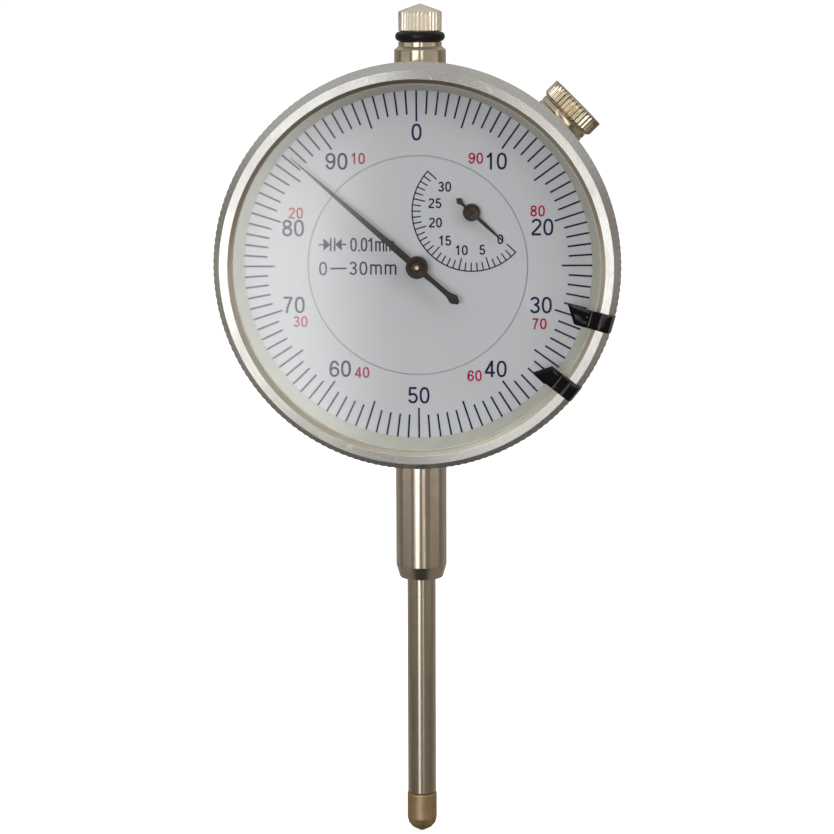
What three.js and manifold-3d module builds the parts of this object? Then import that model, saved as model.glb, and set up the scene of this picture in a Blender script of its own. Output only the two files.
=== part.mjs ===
import * as THREE from "three";
import { mergeVertices } from "three/addons/utils/BufferGeometryUtils.js";
import Module from "manifold-3d";

// Plunger dial indicator, 0-30 mm by 0.01 mm. Millimetres, +Z up, dial faces -Y.
// Solids are drawn about the dial centre (X right, Y back from the dial face, Z up)
// and moved at the end so that the origin is half way down the stem, on its axis.

const wasm = await Module();
wasm.setup();
const { Manifold, Mesh: SolidMesh } = wasm;

// frame
const STEM_AXIS_Y = 9.0; // stem axis behind the dial face
const DIAL_ABOVE_ORIGIN = 40.5;

// segments
const SEG_BIG = 48;
const SEG_MID = 16;
const SEG_SMALL = 12;

// bezel and window
const R_BEZEL_TIP = 31.0;
const R_BEZEL_ROOT = 30.72;
const BEZEL_TEETH = 180;
const R_RING_OUT = 29.8;
const R_RING_IN = 28.5;
const R_BEVEL_IN = 27.9;
const Y_BEZEL_FRONT = -5.7;
const Y_CRYSTAL_OUT = -5.2;
const Y_CRYSTAL_IN = -4.2;

// case
const R_CASE = 29.0;
const R_CASE_IN = 25.4;
const Y_CASE_FRONT = 0.7;
const Y_CASE_BACK = 13.5;
const Y_COVER_BACK = 15.0;

// stem and plunger
const R_STEM = 4.0;
const R_BORE = 2.8;
const R_PLUNGER = 2.25;
const Z_STEM_END = -50.5;
const Z_PLUNGER_END = -86.1;
const Z_BALL_END = -92.6;

// movement
const RACK_ARBOR = [-3.37, 10.4];
const HAIR_ARBOR = [7.7, -7.7];
const COUNT_ARBOR = [8.25, 8.28];
const RACK_PITCH = 0.625;
const MAIN_HAND_DEG = 49; // anticlockwise from 12 o'clock
const SMALL_HAND_DEG = -132.6;

const CLAMP_DEG = 45; // to the right of 12 o'clock

// colours
const NICKEL = [0xb7b1a4, 0.32, 0.95];
const STEEL = [0x8d8982, 0.28, 0.95];
const STEEL_DARK = [0x6f6b66, 0.35, 0.9];
const DIAL = [0xbfc4cc, 0.55, 0.0];
const INK = [0x17171c, 0.4, 0.0];
const BRASS = [0xb08d4a, 0.35, 0.9];
const ALU = [0xa5a6a8, 0.45, 0.85];
const RUBBER = [0x101010, 0.7, 0.0];
const GLASS = [0xdfe6e6, 0.05, 0.0];
const GASKET = [0x6f7a6a, 0.6, 0.0];
const CARBIDE = [0x2f2c2a, 0.2, 0.8];
const BLACK_CLIP = [0x0b0b0c, 0.18, 0.1];

const group = new THREE.Group();

function solid(geometry) {
  let g = geometry.clone();
  g.deleteAttribute("normal");
  g.deleteAttribute("uv");
  g = mergeVertices(g, 1e-4);
  const p = g.attributes.position;
  const idx = g.index.array;
  const tri = [];
  let volume = 0;
  const a = new THREE.Vector3();
  const b = new THREE.Vector3();
  const c = new THREE.Vector3();
  for (let i = 0; i < idx.length; i += 3) {
    const [u, v, w] = [idx[i], idx[i + 1], idx[i + 2]];
    if (u === v || v === w || w === u) continue;
    tri.push(u, v, w);
    a.fromBufferAttribute(p, u);
    b.fromBufferAttribute(p, v);
    c.fromBufferAttribute(p, w);
    volume += a.dot(b.cross(c));
  }
  if (volume < 0) {
    for (let i = 0; i < tri.length; i += 3) [tri[i + 1], tri[i + 2]] = [tri[i + 2], tri[i + 1]];
  }
  return new Manifold(
    new SolidMesh({ numProp: 3, vertProperties: new Float32Array(p.array), triVerts: new Uint32Array(tri) })
  );
}

// closed profile of [radius, position] turned about Y
function turnedGeometry(profile, segments) {
  const onAxis = profile[0][0] === 0 && profile[profile.length - 1][0] === 0;
  const pts = (onAxis ? profile : [...profile, profile[0]]).map(([r, h]) => new THREE.Vector2(r, h));
  return new THREE.LatheGeometry(pts, segments);
}
function turnedY(profile, segments = SEG_BIG, x = 0, z = 0) {
  const g = turnedGeometry(profile, segments);
  g.translate(x, 0, z);
  return solid(g);
}
function turnedZ(profile, segments = SEG_MID, x = 0, y = STEM_AXIS_Y) {
  const g = turnedGeometry(profile, segments);
  g.rotateX(Math.PI / 2);
  g.translate(x, y, 0);
  return solid(g);
}
// outline in X, Z, thick along Y
function plateY(points, y0, y1, holes = []) {
  const shape = new THREE.Shape(points.map(([x, z]) => new THREE.Vector2(x, z)));
  for (const h of holes) shape.holes.push(new THREE.Path(h.map(([x, z]) => new THREE.Vector2(x, z))));
  const g = new THREE.ExtrudeGeometry(shape, { depth: y1 - y0, bevelEnabled: false, steps: 1 });
  g.rotateX(Math.PI / 2);
  g.translate(0, y1, 0);
  return solid(g);
}
// outline in Y, Z, thick along X
function plateX(points, x0, x1, holes = []) {
  const shape = new THREE.Shape(points.map(([y, z]) => new THREE.Vector2(y, z)));
  for (const h of holes) shape.holes.push(new THREE.Path(h.map(([y, z]) => new THREE.Vector2(y, z))));
  const g = new THREE.ExtrudeGeometry(shape, { depth: x1 - x0, bevelEnabled: false, steps: 1 });
  g.applyMatrix4(new THREE.Matrix4().set(0, 0, 1, 0, 1, 0, 0, 0, 0, 1, 0, 0, 0, 0, 0, 1));
  g.translate(x0, 0, 0);
  return solid(g);
}
// outline in X, Y, thick along Z
function plateZ(points, z0, z1) {
  const shape = new THREE.Shape(points.map(([x, y]) => new THREE.Vector2(x, y)));
  const g = new THREE.ExtrudeGeometry(shape, { depth: z1 - z0, bevelEnabled: false, steps: 1 });
  g.translate(0, 0, z0);
  return solid(g);
}
function box(x0, x1, y0, y1, z0, z1) {
  const g = new THREE.BoxGeometry(x1 - x0, y1 - y0, z1 - z0);
  g.translate((x0 + x1) / 2, (y0 + y1) / 2, (z0 + z1) / 2);
  return solid(g);
}
function circle(r, n, x = 0, z = 0) {
  return Array.from({ length: n }, (_, i) => {
    const t = (2 * Math.PI * i) / n;
    return [x + r * Math.cos(t), z + r * Math.sin(t)];
  });
}
function toothed(n, tip, root, x = 0, z = 0, flat = 0.25) {
  const pts = [];
  for (let i = 0; i < n; i++) {
    if (flat > 0) {
      for (const [f, r] of [[-flat / 2, tip], [flat / 2, tip], [0.5, root]]) {
        const t = (2 * Math.PI * (i + f)) / n;
        pts.push([x + r * Math.cos(t), z + r * Math.sin(t)]);
      }
    } else {
      for (const [f, r] of [[0, tip], [0.5, root]]) {
        const t = (2 * Math.PI * (i + f)) / n;
        pts.push([x + r * Math.cos(t), z + r * Math.sin(t)]);
      }
    }
  }
  return pts;
}
function spun(points, deg, x = 0, z = 0) {
  const t = (deg * Math.PI) / 180;
  return points.map(([px, pz]) => [
    x + px * Math.cos(t) - pz * Math.sin(t),
    z + px * Math.sin(t) + pz * Math.cos(t),
  ]);
}
// from "outwards along Z" to "outwards at the clamp's angle"
const toClamp = (m) => m.rotate([0, CLAMP_DEG, 0]);

function node(name, body, [color, roughness, metalness]) {
  const parts = body.decompose();
  if (parts.length !== 1) throw new Error(`${name} is ${parts.length} bodies`);
  const m = body.translate([0, -STEM_AXIS_Y, DIAL_ABOVE_ORIGIN]).getMesh();
  const n = m.numProp;
  const count = m.vertProperties.length / n;
  const pos = new Float32Array(count * 3);
  for (let i = 0; i < count; i++) for (let k = 0; k < 3; k++) pos[3 * i + k] = m.vertProperties[i * n + k];
  const g = new THREE.BufferGeometry();
  g.setAttribute("position", new THREE.BufferAttribute(pos, 3));
  g.setIndex(new THREE.BufferAttribute(new Uint32Array(m.triVerts), 1));
  g.computeVertexNormals();
  const mesh = new THREE.Mesh(g, new THREE.MeshStandardMaterial({ color, roughness, metalness }));
  mesh.name = name;
  group.add(mesh);
}

// ---------------------------------------------------------------- case
const bigCylinder = turnedY([[0, 0], [R_CASE + 0.1, 0], [R_CASE + 0.1, 20], [0, 20]]);
let caseBody = turnedY([
  [27.0, Y_CASE_FRONT], [27.0, 2.4], [R_CASE, 2.4], [R_CASE, Y_CASE_BACK], [R_CASE_IN, Y_CASE_BACK],
  [R_CASE_IN, 8.0], [24.3, 8.0], [24.3, 6.5], [R_CASE_IN, 6.5], [R_CASE_IN, Y_CASE_FRONT],
]);
caseBody = caseBody
  .subtract(turnedZ([[0, -30], [3.35, -30], [3.35, -23], [0, -23]]))
  .subtract(turnedZ([[0, 23], [3.35, 23], [3.35, 30], [0, 30]]))
  .subtract(toClamp(turnedZ([[0, 23], [1.8, 23], [1.8, 30], [0, 30]], SEG_SMALL)));
const COVER_SCREWS = [20, 160, 200, 340].map((d) => {
  const t = (d * Math.PI) / 180;
  return [26.9 * Math.cos(t), 26.9 * Math.sin(t)];
});
for (const [x, z] of COVER_SCREWS) {
  caseBody = caseBody.subtract(turnedY([[0, 11], [1, 11], [1, 14], [0, 14]], SEG_SMALL, x, z));
}
node("case", caseBody, ALU);

let cover = turnedY([[0, 13.6], [28.9, 13.6], [28.9, 14.6], [28.5, Y_COVER_BACK], [0, Y_COVER_BACK]]);
const lugOutline = [[14.8, -8], [19.5, -6]];
for (let i = 1; i < 12; i++) {
  const t = -Math.PI / 2 + (Math.PI * i) / 12;
  lugOutline.push([19.5 + 6 * Math.cos(t), 6 * Math.sin(t)]);
}
lugOutline.push([19.5, 6], [14.8, 8]);
cover = cover.add(plateX(lugOutline, -3, 3, [circle(3.25, 24, 19.5, 0)]));
for (const [x, z] of COVER_SCREWS) {
  cover = cover.subtract(turnedY([[0, 13], [1, 13], [1, 16], [0, 16]], SEG_SMALL, x, z));
}
node("rear_cover", cover, ALU);

COVER_SCREWS.forEach(([x, z], i) => {
  const screw = turnedY(
    [[0, 11.4], [0.8, 11.4], [0.8, 15.1], [1.7, 15.1], [1.7, 15.9], [1.5, 16.1], [0, 16.1]],
    SEG_SMALL, x, z
  ).subtract(box(x - 0.25, x + 0.25, 15.7, 17, z - 3, z + 3));
  node(`rear_cover_screw_${i + 1}`, screw, STEEL);
});

// ---------------------------------------------------------------- stem and guides
const stem = turnedZ([[0, Z_STEM_END], [3.4, Z_STEM_END], [R_STEM, Z_STEM_END + 2], [R_STEM, -27], [0, -27]], 24)
  .subtract(bigCylinder)
  .add(turnedZ([[0, -30.5], [3.2, -30.5], [3.2, -25.6], [0, -25.6]], 24))
  .subtract(turnedZ([[0, -60], [R_BORE, -60], [R_BORE, -20], [0, -20]]));
node("stem", stem, STEEL);
node("lower_guide_bush", turnedZ([[2.45, -50.3], [2.7, -50.3], [2.7, -42], [2.45, -42]]), BRASS);

const sleeve = turnedZ(
  [[0, 27], [R_STEM, 27], [R_STEM, 32.45], [3.5, 32.9], [3.35, 32.9], [3.35, 33.68], [0, 33.68]], 24
)
  .subtract(bigCylinder)
  .add(turnedZ([[0, 25.6], [3.2, 25.6], [3.2, 30], [0, 30]], 24))
  .subtract(turnedZ([[0, 20], [R_BORE, 20], [R_BORE, 40], [0, 40]]));
node("upper_sleeve", sleeve, NICKEL);
node("upper_guide_bush", turnedZ([[2.45, 26], [2.7, 26], [2.7, 33.4], [2.45, 33.4]]), BRASS);

// ---------------------------------------------------------------- movement frame
const PILLARS = [[-17, -10], [-18.5, 11], [22, -2], [-6, -20.5]];
node(
  "movement_front_plate",
  plateY(circle(25, SEG_BIG), 0.6, 1.6, [
    circle(0.6, 12), circle(0.5, 12, ...RACK_ARBOR), circle(0.5, 12, ...HAIR_ARBOR), circle(0.6, 12, ...COUNT_ARBOR),
  ]),
  BRASS
);
node(
  "movement_main_plate",
  plateY(circle(25, SEG_BIG), 5.4, 6.4, [
    circle(0.5, 12), circle(0.8, 12, ...RACK_ARBOR), circle(0.5, 12, ...HAIR_ARBOR), circle(0.5, 12, ...COUNT_ARBOR),
    ...PILLARS.map(([x, z]) => circle(0.7, 12, x, z)),
  ]),
  BRASS
);
PILLARS.forEach(([x, z], i) => {
  node(`plate_pillar_${i + 1}`, turnedY([[0.65, 1.65], [1.5, 1.65], [1.5, 5.35], [0.65, 5.35]], SEG_SMALL, x, z), BRASS);
  node(
    `plate_screw_${i + 1}`,
    turnedY([[0, 3], [0.5, 3], [0.5, 6.45], [1.2, 6.45], [1.2, 7], [0, 7]], SEG_SMALL, x, z),
    STEEL
  );
});
node(
  "guide_plate",
  plateX([[6.6, -17.5], [11.6, -17.5], [11.6, 19.5], [6.6, 19.5]], 3.3, 5.3, [
    [[8.2, -15.5], [9.8, -15.5], [9.8, 17.5], [8.2, 17.5]],
  ]),
  STEEL
);
node("spring_post", turnedY([[0, 6.6], [0.6, 6.6], [0.6, 10.6], [0, 10.6]], SEG_SMALL, 7.2, -22.4), STEEL);

const coil = [];
const COIL_TURNS = 6;
for (let i = 0; i <= COIL_TURNS * 7; i++) {
  const t = (2 * Math.PI * i) / 7;
  coil.push(new THREE.Vector3(7.2 + 1.1 * Math.cos(t), STEM_AXIS_Y + 1.1 * Math.sin(t), -21.5 + (6.4 * i) / (COIL_TURNS * 7)));
}
const wire = new THREE.Shape(circle(0.18, 4).map(([x, y]) => new THREE.Vector2(x, y)));
node(
  "return_spring",
  solid(new THREE.ExtrudeGeometry(wire, {
    steps: COIL_TURNS * 7, bevelEnabled: false, extrudePath: new THREE.CatmullRomCurve3(coil),
  })),
  STEEL
);

const hair = [];
const HAIR_STEPS = 52;
for (let i = 0; i <= HAIR_STEPS; i++) {
  const t = (2 * Math.PI * 4 * i) / HAIR_STEPS;
  const r = 1.25 + (3.5 * i) / HAIR_STEPS;
  hair.push([HAIR_ARBOR[0] + (r + 0.08) * Math.cos(t), HAIR_ARBOR[1] + (r + 0.08) * Math.sin(t)]);
}
for (let i = HAIR_STEPS; i >= 0; i--) {
  const t = (2 * Math.PI * 4 * i) / HAIR_STEPS;
  const r = 1.25 + (3.5 * i) / HAIR_STEPS;
  hair.push([HAIR_ARBOR[0] + (r - 0.08) * Math.cos(t), HAIR_ARBOR[1] + (r - 0.08) * Math.sin(t)]);
}
node("hairspring", plateY(hair, 4.3, 4.7), STEEL_DARK);
node(
  "hairspring_stud",
  turnedY([[0, 4.1], [0.35, 4.1], [0.35, 5.35], [0, 5.35]], SEG_SMALL, HAIR_ARBOR[0] + 5.3, HAIR_ARBOR[1]),
  BRASS
);

// ---------------------------------------------------------------- dial
node(
  "inner_dial",
  plateY(circle(16.6, SEG_BIG), 0, 0.5, [circle(0.8, 12), circle(0.7, 12, ...COUNT_ARBOR)]),
  DIAL
);
node("scale_ring", turnedY([[16.9, 0], [28.2, 0], [28.2, 0.5], [16.9, 0.5]]), DIAL);
node("spacer_ring", turnedY([[26.9, -0.1], [27.75, -4.1], [28.25, -4.1], [28.25, -0.1]]), GASKET);
node("crystal", turnedY([[0, Y_CRYSTAL_OUT], [28.25, Y_CRYSTAL_OUT], [28.25, Y_CRYSTAL_IN], [0, Y_CRYSTAL_IN]]), GLASS);

let bezel = turnedY([
  [R_RING_IN, Y_BEZEL_FRONT], [R_RING_OUT, Y_BEZEL_FRONT], [30.65, -3.3], [30.65, 0.4], [30.2, 0.9], [30.2, 4],
  [29.3, 4], [29.3, 2.05], [27.3, 2.05], [27.3, 0.6], [28.35, 0.6], [28.35, -5.28], [R_BEVEL_IN, -5.28], [R_BEVEL_IN, -5.36],
]);
bezel = bezel.add(
  plateY(toothed(BEZEL_TEETH, R_BEZEL_TIP, R_BEZEL_ROOT, 0, 0, 0), -3.2, 0.3, [circle(30, SEG_BIG)])
);
node("bezel", bezel, NICKEL);

// tolerance markers: a strip over the ring, folded down along its sloping edge
function marker(deg, slant) {
  const strip = plateY(
    [[-1.35, slant > 0 ? 23.4 : 25.1], [1.35, slant > 0 ? 25.1 : 23.4], [1.35, 30.5], [-1.35, 30.5]], -6.5, -5.85
  );
  const fold = plateX([[-6.5, 30.1], [-6.5, 30.5], [-3.6, 31.25], [-3.6, 30.85]], -1.35, 1.35);
  return strip.add(fold).rotate([0, deg, 0]);
}
node("tolerance_marker_upper", marker(105.7, 1), BLACK_CLIP);
node("tolerance_marker_lower", marker(128.2, -1), BLACK_CLIP);

// ---------------------------------------------------------------- plunger
let plunger = turnedZ([
  [0, -81], [1.35, -81], [1.35, Z_PLUNGER_END], [2.1, Z_PLUNGER_END], [R_PLUNGER, Z_PLUNGER_END + 0.2],
  [R_PLUNGER, 35.26], [1.4, 35.26], [1.4, 37.4], [0, 37.4],
]);
const rack = [[-4, -23], [-1.95, -23]];
for (let z = -23; z < 13; z += RACK_PITCH) {
  rack.push([-1.62, z + 0.3], [-1.95, z + 0.55]);
}
rack.push([-4, 13.2]);
plunger = plunger.subtract(plateY(rack, 5, 13));
const pinHole = new THREE.CylinderGeometry(0.72, 0.72, 2, SEG_SMALL);
pinHole.rotateZ(Math.PI / 2);
pinHole.translate(1.9, STEM_AXIS_Y, -14);
plunger = plunger.subtract(solid(pinHole));
node("plunger", plunger, STEEL);

const pin = new THREE.CylinderGeometry(0.6, 0.6, 7.3, SEG_SMALL);
pin.rotateZ(Math.PI / 2);
pin.translate(1.05 + 3.65, STEM_AXIS_Y, -14);
node("guide_pin", solid(pin), STEEL);

node(
  "contact_point",
  turnedZ([
    [0, -81.3], [1.2, -81.3], [1.2, -86.15], [2.35, -86.15], [2.35, -90.5], [2.1, -91.3], [1.6, -91.9], [1.15, -92.15],
    [1.08, -92.15], [1.08, -90.55], [0, -90.55],
  ]),
  STEEL_DARK
);
const ball = new THREE.SphereGeometry(1.0, 12, 8);
ball.rotateX(Math.PI / 2);
ball.translate(0, STEM_AXIS_Y, Z_BALL_END + 1.0);
node("contact_ball", solid(ball), CARBIDE);

const oRing = circle(0.76, 8).map(([r, z]) => [3.07 + r, 34.5 + z]);
node("knob_o_ring", turnedZ(oRing), RUBBER);
const knobOutline = toothed(24, 3.35, 3.16, 0, STEM_AXIS_Y, 0);
const knob = turnedZ(
  [[0, 37.7], [1.55, 37.7], [1.55, 35.3], [3.2, 35.3], [3.35, 35.45], [3.35, 38.1], [3.1, 38.35], [1.2, 39.1], [0, 39.5]], 24
).intersect(plateZ(knobOutline, 35, 41));
node("lifting_knob", knob, NICKEL);

// ---------------------------------------------------------------- wheels
node(
  "rack_arbor",
  turnedY([[0, 0.7], [0.35, 0.7], [0.35, 1.7], [0.6, 1.7], [0.6, 11], [0.35, 11], [0.35, 12], [0, 12]], SEG_SMALL, ...RACK_ARBOR)
    .add(plateY(toothed(16, 1.36, 1.05, ...RACK_ARBOR), 7.5, 10.5)),
  STEEL
);
node("rack_wheel", plateY(toothed(100, 9.75, 9.45, ...RACK_ARBOR, 0), 3.2, 3.7, [circle(0.75, 12, ...RACK_ARBOR)]), BRASS);
node("counter_pinion", plateY(toothed(12, 1.6, 1.25, ...RACK_ARBOR), 2.3, 2.8, [circle(0.75, 12, ...RACK_ARBOR)]), BRASS);

node(
  "centre_arbor",
  turnedY([[0, -3.05], [0.3, -3.05], [0.35, -2.95], [0.35, 6.2], [0, 6.2]], SEG_SMALL)
    .add(plateY(toothed(10, 1.02, 0.75), 2.8, 4.1)),
  BRASS
);
node("hairspring_arbor",
  turnedY([[0, 0.7], [0.35, 0.7], [0.35, 1.8], [0.55, 1.8], [0.55, 4], [0.9, 4], [0.9, 4.9], [0.35, 4.9], [0.35, 6.2], [0, 6.2]],
    SEG_SMALL, ...HAIR_ARBOR),
  STEEL
);
node("hairspring_wheel", plateY(toothed(100, 9.75, 9.45, ...HAIR_ARBOR, 0), 3.2, 3.7, [circle(0.7, 12, ...HAIR_ARBOR)]), BRASS);
node("counter_arbor",
  turnedY([[0, -1.45], [0.35, -1.45], [0.35, 2], [0.55, 2], [0.55, 3], [0.35, 3], [0.35, 6.2], [0, 6.2]], SEG_SMALL, ...COUNT_ARBOR),
  STEEL
);
node("counter_wheel", plateY(toothed(72, 9.9, 9.6, ...COUNT_ARBOR, 0), 2.3, 2.6, [circle(0.7, 12, ...COUNT_ARBOR)]), BRASS);

// ---------------------------------------------------------------- hands
const mainBlade = [
  [-0.5, 0], [-0.47, 4], [-0.08, 25.4], [0.08, 25.4], [0.47, 4], [0.5, 0], [0.4, -4], [0.4, -5.6], [0.82, -7], [0, -8.4],
  [-0.82, -7], [-0.4, -5.6], [-0.4, -4],
];
let mainHand = plateY(spun(mainBlade, MAIN_HAND_DEG), -2.45, -2.2)
  .add(turnedY([[0, -2.9], [1.7, -2.9], [1.7, -1.5], [0, -1.5]], SEG_MID))
  .subtract(turnedY([[0, -4], [1.45, -4], [1.45, -2.6], [0, -2.6]], SEG_MID))
  .subtract(turnedY([[0, -4], [0.45, -4], [0.45, 0], [0, 0]], SEG_SMALL));
node("main_pointer", mainHand, INK);
node("pointer_cap", turnedY([[0.45, -2.95], [1.3, -2.8], [1.38, -2.65], [0.45, -2.65]], SEG_MID), BRASS);

const smallBlade = [
  [-0.26, 0], [-0.1, 6.5], [0.1, 6.5], [0.26, 0], [0.2, -2], [0.4, -2.7], [0, -3.2], [-0.4, -2.7], [-0.2, -2],
];
const smallHand = plateY(spun(smallBlade, SMALL_HAND_DEG, ...COUNT_ARBOR), -1.2, -1.0)
  .add(turnedY([[0, -1.4], [1.3, -1.4], [1.3, -0.6], [0, -0.6]], SEG_MID, ...COUNT_ARBOR))
  .subtract(turnedY([[0, -4], [0.45, -4], [0.45, 0], [0, 0]], SEG_SMALL, ...COUNT_ARBOR));
node("small_pointer", smallHand, INK);

// ---------------------------------------------------------------- bezel clamp
const bush = turnedZ([[0, 27], [4.3, 27], [4.3, 30.8], [0, 30.8]])
  .subtract(turnedZ([[0, 20], [1.75, 20], [1.75, 40], [0, 40]], SEG_SMALL));
node("clamp_bush", toClamp(bush).subtract(bigCylinder), NICKEL);
const shoe = turnedZ([[0, 30.9], [4.3, 30.9], [4.3, 31.7], [0, 31.7]])
  .add(box(-1.5, 1.5, 3.9, 5.2, 30.9, 31.7))
  .add(box(-1.5, 1.5, 3.9, 4.55, 30.4, 31.5))
  .add(box(-1.5, 1.5, 2.5, 4.5, 30.4, 31.0))
  .subtract(turnedZ([[0, 20], [1.75, 20], [1.75, 40], [0, 40]], SEG_SMALL));
node("clamp_shoe", toClamp(shoe), NICKEL);
const screw = turnedZ([[0, 31.8], [4.3, 31.8], [4.75, 32.2], [4.75, 34.4], [4.65, 34.5], [0, 34.5]], 36)
  .intersect(plateZ(toothed(36, 4.75, 4.58, 0, STEM_AXIS_Y, 0), 30, 36))
  .add(turnedZ([[0, 26.6], [1.5, 26.6], [1.5, 33], [0, 33]], SEG_SMALL));
node("clamp_screw", toClamp(screw), NICKEL);

export default group;
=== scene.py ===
import math

import bmesh
import bpy
import numpy as np
from mathutils import Euler, Matrix, Vector


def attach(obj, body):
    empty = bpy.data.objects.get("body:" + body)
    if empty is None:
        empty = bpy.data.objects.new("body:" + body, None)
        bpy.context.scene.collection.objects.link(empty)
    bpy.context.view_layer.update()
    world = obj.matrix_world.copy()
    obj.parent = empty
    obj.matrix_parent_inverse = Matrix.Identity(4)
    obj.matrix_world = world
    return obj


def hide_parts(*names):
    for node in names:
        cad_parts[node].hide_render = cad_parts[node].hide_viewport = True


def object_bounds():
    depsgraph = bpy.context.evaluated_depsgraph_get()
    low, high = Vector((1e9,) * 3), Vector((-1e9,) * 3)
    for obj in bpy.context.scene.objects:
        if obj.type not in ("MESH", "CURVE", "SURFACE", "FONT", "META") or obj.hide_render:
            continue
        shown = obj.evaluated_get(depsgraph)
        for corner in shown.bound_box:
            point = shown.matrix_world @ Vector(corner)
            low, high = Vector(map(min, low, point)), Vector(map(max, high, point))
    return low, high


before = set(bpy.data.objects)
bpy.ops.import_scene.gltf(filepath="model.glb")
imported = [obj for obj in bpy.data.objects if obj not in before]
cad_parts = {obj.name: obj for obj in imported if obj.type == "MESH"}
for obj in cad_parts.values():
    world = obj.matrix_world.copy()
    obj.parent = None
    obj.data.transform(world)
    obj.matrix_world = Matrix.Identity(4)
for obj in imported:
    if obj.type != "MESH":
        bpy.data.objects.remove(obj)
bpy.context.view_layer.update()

# ------------------------------------------------------------------ frame
# Everything below is drawn in millimetres about the dial centre: x right, d back from the
# dial face, z up. W() puts a point in the row frame, in metres.
STEM_D = 9.0
DIAL_Z = 40.5


def W(p):
    a = np.asarray(p, float).reshape(-1, 3)
    return (a + np.array([0.0, -STEM_D, DIAL_Z])) / 1000.0


def sharpen(me, angle=32.0):
    bm = bmesh.new()
    bm.from_mesh(me)
    lim = math.radians(angle)
    for f in bm.faces:
        f.smooth = True
    for e in bm.edges:
        if len(e.link_faces) != 2:
            e.smooth = False
        else:
            e.smooth = e.calc_face_angle(0.0) < lim
    bm.to_mesh(me)
    bm.free()


def mesh(name, verts, faces, mat, angle=32.0, outward=False):
    """verts in millimetres about the dial centre."""
    me = bpy.data.meshes.new(name)
    me.from_pydata(W(verts).tolist(), [], [list(map(int, f)) for f in faces])
    me.validate()
    if outward:
        bm = bmesh.new()
        bm.from_mesh(me)
        bmesh.ops.remove_doubles(bm, verts=bm.verts, dist=1e-7)
        bmesh.ops.recalc_face_normals(bm, faces=bm.faces)
        bm.to_mesh(me)
        bm.free()
    sharpen(me, angle)
    o = bpy.data.objects.new(name, me)
    bpy.context.scene.collection.objects.link(o)
    if mat is not None:
        me.materials.append(mat)
    return o


def fillet(pts, default=0.0, closed=True, steps=4):
    """Corner (x, y) or (x, y, radius) list to a polyline with rounded corners."""
    out = []
    n = len(pts)
    for i, p in enumerate(pts):
        r = p[2] if len(p) > 2 else default
        b = np.array(p[:2], float)
        if r <= 0 or (not closed and i in (0, n - 1)):
            out.append(tuple(b))
            continue
        a = np.array(pts[(i - 1) % n][:2], float)
        c = np.array(pts[(i + 1) % n][:2], float)
        u, v = a - b, c - b
        lu, lv = np.linalg.norm(u), np.linalg.norm(v)
        u, v = u / lu, v / lv
        ang = math.acos(max(-1, min(1, float(u @ v))))
        if ang < 1e-3 or abs(math.pi - ang) < 1e-2:
            out.append(tuple(b))
            continue
        t = r / math.tan(ang / 2)
        t = min(t, 0.45 * lu, 0.45 * lv)
        rr = t * math.tan(ang / 2)
        m = (u + v) / np.linalg.norm(u + v)
        cen = b + m * (rr / math.sin(ang / 2))
        s0, s1 = b + u * t - cen, b + v * t - cen
        a0 = math.atan2(s0[1], s0[0])
        a1 = math.atan2(s1[1], s1[0])
        da = (a1 - a0 + math.pi) % (2 * math.pi) - math.pi
        out.append(tuple(map(float, b + u * (t + min(0.08, 0.04 * lu)))))
        for k in range(steps + 1):
            q = a0 + da * k / steps
            out.append((float(cen[0] + rr * math.cos(q)), float(cen[1] + rr * math.sin(q))))
        out.append(tuple(map(float, b + v * (t + min(0.08, 0.04 * lv)))))
    return out


AX = {}


def place(r, h, th, axis, cx, cz):
    """radius, height, angle arrays to points. axis Y: about the dial axis at (cx, cz);
    Z: about the stem axis; C: about the clamp's axis."""
    if axis == "Y":
        return np.stack([cx + r * np.sin(th), h, cz + r * np.cos(th)], -1)
    if axis == "Z":
        return np.stack([cx + r * np.cos(th), STEM_D + r * np.sin(th), h], -1)
    if axis == "C":
        s = math.sqrt(0.5)
        x, y = r * np.cos(th), r * np.sin(th)
        return np.stack([x * s + h * s, STEM_D + y, -x * s + h * s], -1)
    raise ValueError(axis)


def lathe(name, profile, n, mat, axis="Z", cx=0.0, cz=0.0, rfun=None, angle=32.0, closed=True):
    """Turned piece. profile: (radius, height) points. Open profiles that start and end on the
    axis close themselves. rfun(r, h, theta) returns the radius."""
    pts = [(float(r), float(h)) for r, h in profile]
    on_axis = pts[0][0] == 0 and pts[-1][0] == 0
    th = np.linspace(0, 2 * math.pi, n, endpoint=False)
    verts, rings = [], []
    for r, h in pts:
        if r == 0:
            verts.append(place(np.array([0.0]), np.array([h]), np.array([0.0]), axis, cx, cz))
            rings.append((sum(len(v) for v in verts[:-1]), 1))
            continue
        rr = np.full(n, r) if rfun is None else rfun(r, h, th)
        verts.append(place(rr, np.full(n, h), th, axis, cx, cz))
        rings.append((sum(len(v) for v in verts[:-1]), n))
    v = np.concatenate(verts)
    faces = []
    m = len(rings)
    last = m - 1 if on_axis else m
    i = np.arange(n)
    j = (i + 1) % n
    for k in range(last):
        (a, na), (b, nb) = rings[k], rings[(k + 1) % m]
        if na == 1 and nb == 1:
            continue
        if na == 1:
            faces += [(a, b + p, b + q) for p, q in zip(i, j)]
        elif nb == 1:
            faces += [(a + p, b, a + q) for p, q in zip(i, j)]
        else:
            faces += [(a + p, b + p, b + q, a + q) for p, q in zip(i, j)]
    return mesh(name, v, faces, mat, angle, outward=True)


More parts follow.
